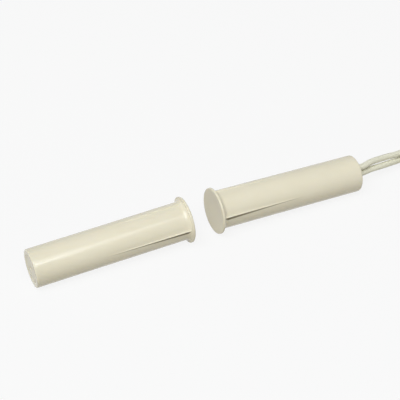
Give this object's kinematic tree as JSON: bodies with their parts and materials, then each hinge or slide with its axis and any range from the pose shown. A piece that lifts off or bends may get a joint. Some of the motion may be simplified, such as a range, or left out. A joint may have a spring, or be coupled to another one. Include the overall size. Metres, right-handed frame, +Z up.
{
  "type": "magnetic contact",
  "caption": "Recessed magnetic contact for a door or window: a flanged, ribbed barrel that holds a magnet, and a matching barrel that holds a reed switch with wire leads.",
  "frame": {"origin": "on the surface that both halves lie on, below the middle of the gap between their flange faces", "axes": "+X runs from the magnet half to the switch half, along the line of both barrels; +Z is up"},
  "size_m": [0.1311, 0.018, 0.0114],
  "materials": {
    "ivory_plastic": "semi-gloss moulded plastic",
    "magnet_alloy": "ground cast magnet alloy",
    "plug_plastic": "matt moulded plastic",
    "capsule_glass": "clear glass with a green tint",
    "soft_sleeve": "matt silicone rubber",
    "reed_alloy": "plated nickel-iron",
    "solder": "bright solder",
    "shrink_tube": "satin shrink sleeve",
    "lead_insulation": "satin flexible plastic",
    "copper": "bare copper",
    "tinned_copper": "tinned copper",
    "resin": "cast resin",
    "tie_plastic": "thin white strip"
  },
  "bodies": {
    "switch": {"switch_housing": "ivory_plastic", "reed_glass": "capsule_glass", "reed_cushion": "soft_sleeve", "rear_reed": "reed_alloy", "front_solder": "solder", "rear_solder": "solder", "rear_shrink": "shrink_tube", "lead_a_inner": "lead_insulation", "lead_b_inner": "lead_insulation", "lead_a_core": "copper", "lead_b_core": "copper", "potting": "resin", "lead_a": "lead_insulation", "lead_b": "lead_insulation", "lead_a_hank": "lead_insulation", "lead_b_hank": "lead_insulation", "lead_a_tip": "tinned_copper", "lead_b_tip": "tinned_copper", "hank_tie": "tie_plastic"},
    "magnet": {"magnet_housing": "ivory_plastic", "magnet_rod": "magnet_alloy", "magnet_plug": "plug_plastic"},
    "reed": {"front_reed": "reed_alloy"}
  },
  "joints": [
    {"name": "magnet_slide", "type": "slide", "parent": "switch", "child": "magnet", "axis": [1, 0, 0], "range_m": [-0.02, 0.0052]},
    {"name": "reed_close", "type": "hinge", "parent": "switch", "child": "reed", "pos_m": [0.01136, 0, 0.0042], "axis": [0, 1, 0], "range_deg": [-0.659, 0.1714]}
  ],
  "couplings": [
    {"joint": "reed_close", "follows": "magnet_slide", "rad_per_m": 0.575}
  ]
}
